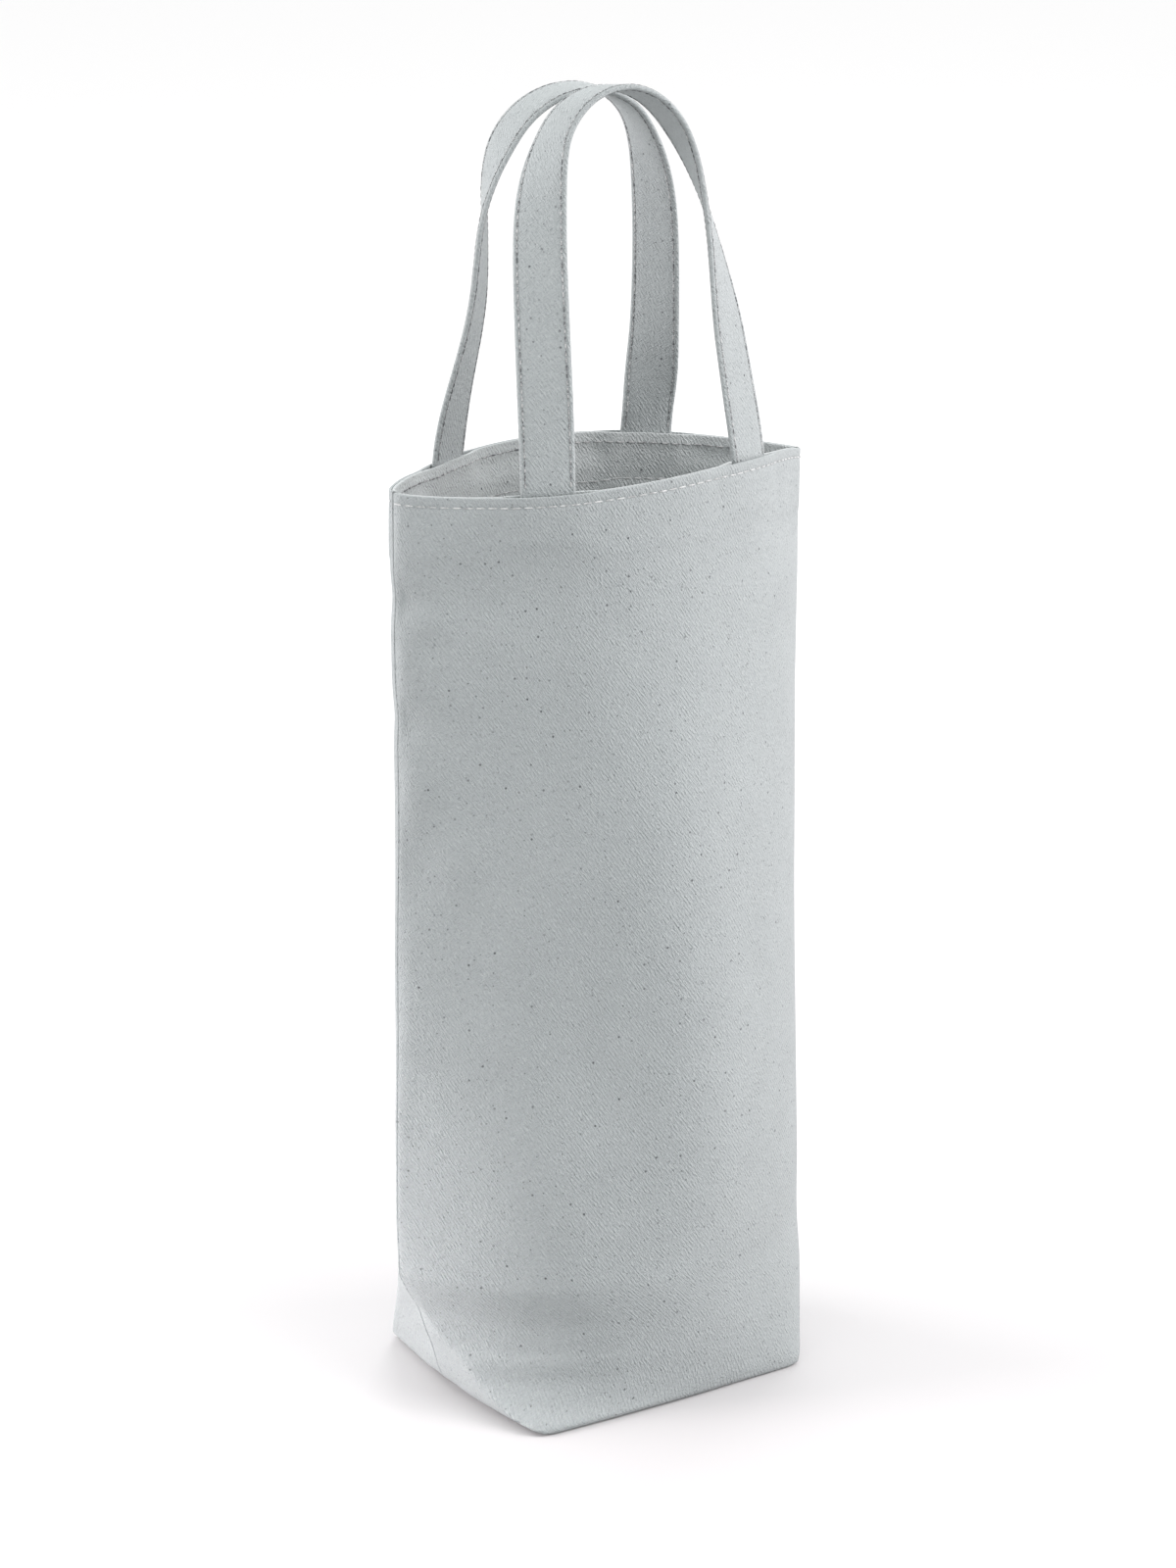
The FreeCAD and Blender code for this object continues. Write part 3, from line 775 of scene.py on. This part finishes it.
class CARRIER_OT_panels(bpy.types.Operator):
    """Sew the front and rear body panels"""

    bl_idname = "carrier.panels"
    bl_label = "Body panels"

    def execute(self, context):
        form = BagForm(context.scene)
        bag = form.bag
        for name, side in SIDES.items():
            bm = panel_sheet(form, side)
            panel = lay_cloth(bm, side, bag.cloth, name + "_panel_cloth", "twill_canvas", name + "_panel")
        return {"FINISHED"}


def facing_inset(form, x, depth, side):
    """How far the facing's hidden face lies inside the panel's outer face."""
    bag, straps = form.bag, form.straps
    layer = bag.cloth * FACING_LAYER
    room = layer + layer * ease((depth - 6 * MM) / (8 * MM))
    strap = straps.thickness + bag.cloth * STRAP_LAYER
    over = form.strap_swell(x, side) / straps.bulge * ease((straps.end_depth + 3 * MM - depth) / STRAP_FOOT)
    return room + np.maximum(strap - room, 0) * over


def facing_sheet(form, side):
    """The band inside the rim: its top at the rim, its lower edge turned under towards the panel."""
    bag = form.bag
    columns = bag.panel_columns
    shares = np.linspace(*FACING_SHARES, columns + 1)
    x = form.at(shares, bag.body_height, side)[:, 0]
    half_gap = 0.12 * MM
    rows = []
    depths = np.linspace(0, bag.facing_depth, 20)
    turned = np.linspace(bag.facing_depth, bag.facing_depth - bag.facing_turn, 6)
    for depth, room in [*((d, 0.0) for d in depths), *((d, 0.2 * bag.cloth) for d in turned)]:
        z = bag.body_height - depth
        inset = facing_inset(form, x, depth, side) - room
        row = form.at(shares, z, side) - inset[:, None] * form.normal(shares, z, side)
        middle = form.middle(z)
        row[:, 1] = middle + side * np.maximum(side * (row[:, 1] - middle), half_gap)
        rows.append(row)
    sheet = np.array(rows)
    girth = run_lengths(sheet[0])[-1]
    return grid_mesh(sheet, np.arange(columns + 1) / columns * girth, run_lengths(sheet[:, columns // 2]))


class CARRIER_OT_facings(bpy.types.Operator):
    """Line the rim with the front and rear facings"""

    bl_idname = "carrier.facings"
    bl_label = "Rim facings"

    def execute(self, context):
        form = BagForm(context.scene)
        bag = form.bag
        for name, side in SIDES.items():
            bm = facing_sheet(form, side)
            # The facings take the lighter facing canvas: painted light on the inside of the rim.
            facing = lay_cloth(bm, side, bag.cloth, name + "_facing_cloth", "canvas_reverse", name + "_facing")
            girth = run_lengths(form.at(np.linspace(0, 1, 200), bag.body_height, side))[-1]
        return {"FINISHED"}


class StrapLine:
    """The middle line of a strap, foot end to foot end, with its width and face directions."""

    def __init__(self, form, side):
        straps = form.straps
        self.half_width = straps.width / 2
        self.half_thickness = straps.thickness / 2
        route = (Vector(place) * MM for place in STRAP_ROUTES[side])
        points = self.spline([*self.hem(form, side, 0), *route, *self.hem(form, side, 1)[::-1]])
        along = run_lengths(points)
        self.length = along[-1]
        tangent = unit(np.gradient(points, axis=0))
        outward = np.array([0.0, side, 0.0])
        first = unit(outward - (tangent @ outward)[:, None] * tangent)
        second = np.cross(tangent, first)
        spots = np.linspace(0, 1, len(STRAP_TURNS[side]))
        turn = np.radians(through(list(zip(spots, STRAP_TURNS[side])), np.linspace(0, 1, len(points))))
        self.points = points
        self.width = unit(-side * np.cos(turn)[:, None] * second + np.sin(turn)[:, None] * first)
        self.face = np.cross(tangent, self.width)

    @staticmethod
    def hem(form, side, which):
        """Where a strap's end lies between panel and facing, lowest point first."""
        bag, straps = form.bag, form.straps
        inset = bag.cloth * SEAM_LAYER + straps.thickness / 2
        found = []
        for depth in (straps.end_depth, straps.end_depth * 0.6, 0.0):
            z = bag.body_height - depth
            across = np.array([form.across_at(STRAP_FEET[side][which] * MM, z, side)])
            found.append(Vector((form.at(across, z, side) - inset * form.normal(across, z, side))[0]))
        return found

    @staticmethod
    def spline(controls):
        """Points read from a smooth spline on the route's control points."""
        curve = bpy.data.curves.new("strap_route", "CURVE")
        curve.dimensions = "3D"
        line = curve.splines.new("NURBS")
        line.points.add(len(controls) - 1)
        for point, control in zip(line.points, controls):
            point.co = (*control, 1.0)
        line.order_u = 4
        line.use_endpoint_u = True
        line.resolution_u = 32
        holder = bpy.data.objects.new("strap_route", curve)
        mesh = bpy.data.meshes.new_from_object(holder)
        points = np.array([v.co for v in mesh.vertices], float)
        bpy.data.objects.remove(holder)
        bpy.data.curves.remove(curve)
        bpy.data.meshes.remove(mesh)
        return points

    def beside(self, across, out):
        """The line moved across the strap and out of its face."""
        return self.points + across * self.width + out * self.face


def strap_section(half_width, half_thickness, row_inset):
    """A folded strap's section: round edges, a soft crown and a shallow groove at each row of stitches."""
    edge = [(half_width - half_thickness * (1 - math.sin(a)), half_thickness * 0.86 * math.cos(a))
            for a in np.linspace(0, math.pi, 7)]
    inner = half_width - row_inset
    top = [(-inner - 0.7 * MM, 0.90), (-inner, GROOVE_LEVEL), (-inner + 0.9 * MM, 0.95), (-inner * 0.5, 1.0), (0, 0.98),
           (inner * 0.5, 1.0), (inner - 0.9 * MM, 0.95), (inner, GROOVE_LEVEL), (inner + 0.7 * MM, 0.90)]
    face = [(x, h * half_thickness) for x, h in top]
    ring = face + edge + [(-x, -h) for x, h in face] + [(-x, -h) for x, h in edge]
    return ring + ring[:1]


class CARRIER_OT_straps(bpy.types.Operator):
    """Hang the two strap handles, their ends sewn into the rim"""

    bl_idname = "carrier.straps"
    bl_label = "Strap handles"

    def execute(self, context):
        form = BagForm(context.scene)
        for name, side in SIDES.items():
            line = StrapLine(form, side)
            section = strap_section(line.half_width, line.half_thickness, context.scene.stitch_sizes.strap_inset)
            rows = np.stack([line.beside(across, out) for across, out in section], 1)
            bm = grid_mesh(rows, run_lengths(np.array(section)), run_lengths(line.points))
            bmesh.ops.remove_doubles(bm, verts=bm.verts[:], dist=1e-7)
            bmesh.ops.holes_fill(bm, edges=[e for e in bm.edges if e.is_boundary], sides=0)
            bmesh.ops.recalc_face_normals(bm, faces=bm.faces[:])
            strap = finish_mesh(bm, name + "_strap", paint_named("twill_canvas"))
            bend_strap(strap)
            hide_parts(*(name + "_handle" + part for part in ("", "_left_end", "_right_end")))
        return {"FINISHED"}


def bend_strap(piece):
    """Bakes a piece's place into its mesh."""
    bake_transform(piece)


def stitch_mesh():
    """One stitch of unit size, lying along z, with its ends marked in its uv map for the thread's painted shade, made
    at its first use.
    """
    mesh = bpy.data.meshes.get("stitch")
    if not mesh:
        mesh = bpy.data.meshes.new("stitch")
        bm = bmesh.new()
        bmesh.ops.create_uvsphere(bm, u_segments=6, v_segments=6, radius=0.5)
        ends = bm.loops.layers.uv.new("thread")
        for face in bm.faces:
            for loop in face.loops:
                loop[ends].uv = (abs(2 * loop.vert.co.z), 0.0)
        bm.to_mesh(mesh)
        bm.free()
    return mesh


def stitch(bm, middle, along, out, size):
    """One stitch: a small rounded length of thread."""
    side = Vector(np.cross(along, out)).normalized()
    along = Vector(along).normalized()
    turn = Matrix((side, along.cross(side), along)).transposed().to_4x4()
    place = Matrix.Translation(Vector(middle)) @ turn @ Matrix.Diagonal((*size, 1.0))
    mesh = stitch_mesh()
    mesh.transform(place)
    bm.from_mesh(mesh)
    mesh.transform(place.inverted())


def sew(bm, line, out, stitches, pitch, paint_slot=0):
    """A row of stitches along a line of points, each lying on the face whose outward direction is given."""
    made = len(bm.faces)
    along = run_lengths(line)
    out = np.broadcast_to(out, line.shape)
    count = max(int(along[-1] / pitch), 1)
    where = (np.arange(count) + 0.5) * along[-1] / count
    middle = read_line(line, where)
    before = read_line(line, np.maximum(where - pitch / 3, 0))
    after = read_line(line, np.minimum(where + pitch / 3, along[-1]))
    face = np.stack([np.interp(where, along, out[:, k]) for k in range(3)], 1)
    thread = stitches.thread
    size = (thread, thread * STITCH_FLAT, pitch * stitches.sewn_share)
    for spot, direction, up in zip(middle, after - before, unit(face)):
        stitch(bm, spot + up * thread * STITCH_PROUD, direction, up, size)
    bm.faces.ensure_lookup_table()
    for face in bm.faces[made:]:
        face.material_index = paint_slot


class CARRIER_OT_strap_stitches(bpy.types.Operator):
    """Sew the rows along both edges of each strap, on both its faces"""

    bl_idname = "carrier.strap_stitches"
    bl_label = "Strap stitching"

    def execute(self, context):
        stitches = context.scene.stitch_sizes
        form = BagForm(context.scene)
        for name, side in SIDES.items():
            line = StrapLine(form, side)
            free = line.points[:, 2] > form.bag.body_height
            inner = line.half_width - stitches.strap_inset
            bm = bmesh.new()
            for across in (-1, 1):
                for out in (-1, 1):
                    row = line.beside(across * inner, out * line.half_thickness * GROOVE_LEVEL)
                    sew(bm, row[free], out * line.face[free], stitches, stitches.strap_pitch)
            rows = finish_mesh(bm, name + "_strap_stitches", paint_named("strap_thread"))
            bend_strap(rows)
            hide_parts(name + "_handle_stitching")
        return {"FINISHED"}


def settle_thread(bm, name, node, *more_paints):
    """Makes a mesh of stitches a piece of the bag that stands for a node."""
    rows = finish_mesh(bm, name, paint_named("rim_thread"))
    for paint in more_paints:
        rows.data.materials.append(paint_named(paint))
    join_bag(rows, node)


def rim_line(form, depth, side):
    """A level line below the rim: on the panel's outer face, its outward directions, and on the facing's inner face."""
    shares = np.linspace(*FACING_SHARES, 400)
    z = form.bag.body_height - depth
    line = form.at(shares, z, side)
    out = form.normal(shares, z, side)
    inset = facing_inset(form, line[:, 0], depth, side) + form.bag.cloth
    return line, out, line - inset[:, None] * out


class CARRIER_OT_rim_stitches(bpy.types.Operator):
    """Sew the row round the rim and the rows along the facings"""

    bl_idname = "carrier.rim_stitches"
    bl_label = "Rim stitching"

    def execute(self, context):
        stitches = context.scene.stitch_sizes
        form = BagForm(context.scene)
        pitch = stitches.rim_pitch
        rim = bmesh.new()
        for name, side in SIDES.items():
            outer, out, inner = rim_line(form, form.bag.row_drop, side)
            sew(rim, outer, out, stitches, pitch)
            # The inner row takes the second slot, the darker strap thread: painted shade on the stitches inside the
            # rim.
            sew(rim, inner, -out, stitches, pitch, 1)
            band = bmesh.new()
            _, out, inner = rim_line(form, form.bag.facing_depth - stitches.facing_rise, side)
            sew(band, inner, -out, stitches, pitch)
            settle_thread(band, name + "_facing_stitches", name + "_facing_stitching")
        settle_thread(rim, "rim_stitches", "mouth_stitching", "strap_thread")
        return {"FINISHED"}


class CARRIER_OT_seam_stitches(bpy.types.Operator):
    """Sew the side, corner and base seams inside the bag"""

    bl_idname = "carrier.seam_stitches"
    bl_label = "Seam stitching"

    def execute(self, context):
        stitches = context.scene.stitch_sizes
        form = BagForm(context.scene)
        bag = form.bag

        def both_faces(line, across):
            """A row on each face of a seam's turned-in cloth, which a direction goes across."""
            bm = bmesh.new()
            for out in (-1, 1):
                away = out * np.array(across)
                sew(bm, line + away * bag.cloth * SEAM_LAYER, away, stitches, stitches.seam_pitch)
            return bm

        heights = np.linspace(bag.allowance + 2 * MM, bag.body_height - bag.facing_depth - 8 * MM, 160)
        run = np.linspace(-CORNER_ROW * bag.base_depth, CORNER_ROW * bag.base_depth, 60)
        for name, hand, end in (("left", LEFT, 0.0), ("right", RIGHT, 1.0)):
            seam = np.array([form.at(np.array([end]), z, FRONT)[0] for z in heights])
            seam[:, 0] -= hand * stitches.seam_inset
            sides = both_faces(seam, (0.0, 1.0, 0.0))
            settle_thread(sides, name + "_side_stitches", name + "_side_stitching")
            foot = form.at(np.array([end]), 0.0, FRONT)[0, 0]
            line = np.stack(np.broadcast_arrays(foot, run, stitches.seam_inset + 2 * MM), 1)
            corner = both_faces(line, (1.0, 0.0, 0.0))
            settle_thread(corner, name + "_corner_stitches", name + "_corner_stitching")
        run = np.linspace(-BASE_ROW * bag.base_width, BASE_ROW * bag.base_width, 60)
        base = both_faces(np.stack(np.broadcast_arrays(run, 0.0, stitches.seam_inset), 1), (0.0, 1.0, 0.0))
        settle_thread(base, "base_stitches", "base_stitching")
        return {"FINISHED"}


def lamp(name, power, tint, size, azimuth, elevation, target=BAG_MIDDLE, distance=1.7, spread=180):
    """A soft rectangular lamp aimed at a point from a turn about it and a height angle, in degrees."""
    light = bpy.data.lights.new(name, "AREA")
    light.shape = "RECTANGLE"
    light.size, light.size_y = size
    light.energy = power
    light.color = tint
    light.spread = math.radians(spread)
    holder = bpy.data.objects.new(name, light)
    away = view_direction(math.radians(azimuth), math.radians(elevation))
    holder.location = target + away * distance
    holder.rotation_euler = (-away).to_track_quat("-Z", "Y").to_euler()
    holder.visible_camera = False
    bpy.context.scene.collection.objects.link(holder)


def view_direction(azimuth, elevation):
    """The direction from a thing to its viewer, by turn about it and height angle."""
    flat = math.cos(elevation)
    return Vector((math.sin(azimuth) * flat, -math.cos(azimuth) * flat, math.sin(elevation)))


class CARRIER_OT_stage(bpy.types.Operator):
    """Set the floor, the lights and the camera"""

    bl_idname = "carrier.stage"
    bl_label = "Stage"

    def execute(self, context):
        scene = context.scene
        stage = scene.stage_setup
        scene.view_settings.view_transform = "Standard"
        paint = Paint("floor")
        place = paint.node("ShaderNodeTexCoord").outputs["Object"]
        away = paint.node("ShaderNodeVectorMath", {"operation": "LENGTH"}, {0: place}).outputs["Value"]
        tone = paint.mix(paint.between(away, *FLOOR_FADE), stage.floor_near, stage.floor_far)
        paint.feed(paint.shader, {"Base Color": tone, "Roughness": 0.9, "Specular IOR Level": 0.1})
        bm = bmesh.new()
        bmesh.ops.create_circle(bm, cap_ends=True, segments=64, radius=30.0)
        floor = finish_mesh(bm, "floor", paint.material)
        world = bpy.data.worlds.new("studio")
        world.use_nodes = True
        sky = world.node_tree.nodes["Background"]
        sky.inputs["Color"].default_value = (1.0, 1.0, 1.0, 1.0)
        sky.inputs["Strength"].default_value = stage.sky_strength
        scene.world = world
        white = (1.0, 1.0, 1.0)
        lamp("right_lamp", stage.right_power, stage.side_tint, (1.0, 1.2), 50, 24)
        lamp("front_lamp", stage.front_power, white, (1.0, 1.0), 20, 50)
        lamp("rear_left_lamp", stage.rear_left_power, white, (1.0, 1.2), -140, 38)
        lamp("rear_right_lamp", stage.rear_right_power, white, (1.0, 1.0), 140, 40)
        lamp("left_lamp", stage.left_power, stage.side_tint, (0.25, 0.5), -114, 8, LEFT_AIM, 0.7)
        lamp("low_lamp", stage.low_power, stage.side_tint, (0.25, 0.12), -116, 2, FOOT_AIM, 0.32, 60)
        camera = bpy.data.objects.new("camera", bpy.data.cameras.new("camera"))
        camera.data.lens = stage.focal
        camera.data.sensor_width = 36.0
        camera.data.clip_end = 100.0
        back = view_direction(stage.azimuth, stage.elevation)
        camera.location = VIEW_AIM + back * stage.distance
        camera.rotation_euler = (-back).to_track_quat("-Z", "Y").to_euler()
        scene.collection.objects.link(camera)
        scene.camera = camera
        return {"FINISHED"}


STEPS = (
    CARRIER_OT_panels, CARRIER_OT_facings, CARRIER_OT_straps, CARRIER_OT_strap_stitches,
    CARRIER_OT_rim_stitches, CARRIER_OT_seam_stitches, CARRIER_OT_stage,
)
GROUPS = {
    "bag_sizes": BagSizes, "strap_sizes": StrapSizes, "stitch_sizes": StitchSizes,
    "cloth_finish": ClothFinish, "stage_setup": StageSetup,
}


class CARRIER_PT_build(bpy.types.Panel):
    """Steps and sizes of the carrier"""

    bl_idname = "CARRIER_PT_build"
    bl_label = "Bottle carrier"
    bl_space_type = "VIEW_3D"
    bl_region_type = "UI"
    bl_category = "Carrier"

    def draw(self, context):
        for step in STEPS:
            self.layout.operator(step.bl_idname)
        for name, group in GROUPS.items():
            box = self.layout.box()
            for key in group.__annotations__:
                box.prop(getattr(context.scene, name), key)


def register():
    for item in (*GROUPS.values(), *STEPS, CARRIER_PT_build):
        bpy.utils.register_class(item)
    for name, group in GROUPS.items():
        setattr(bpy.types.Scene, name, PointerProperty(type=group))


def unregister():
    for name in GROUPS:
        delattr(bpy.types.Scene, name)
    for item in reversed((*GROUPS.values(), *STEPS, CARRIER_PT_build)):
        bpy.utils.unregister_class(item)


def main():
    register()
    for step in STEPS:
        getattr(bpy.ops.carrier, step.bl_idname.split(".")[1])()


if __name__ == "__main__":
    main()
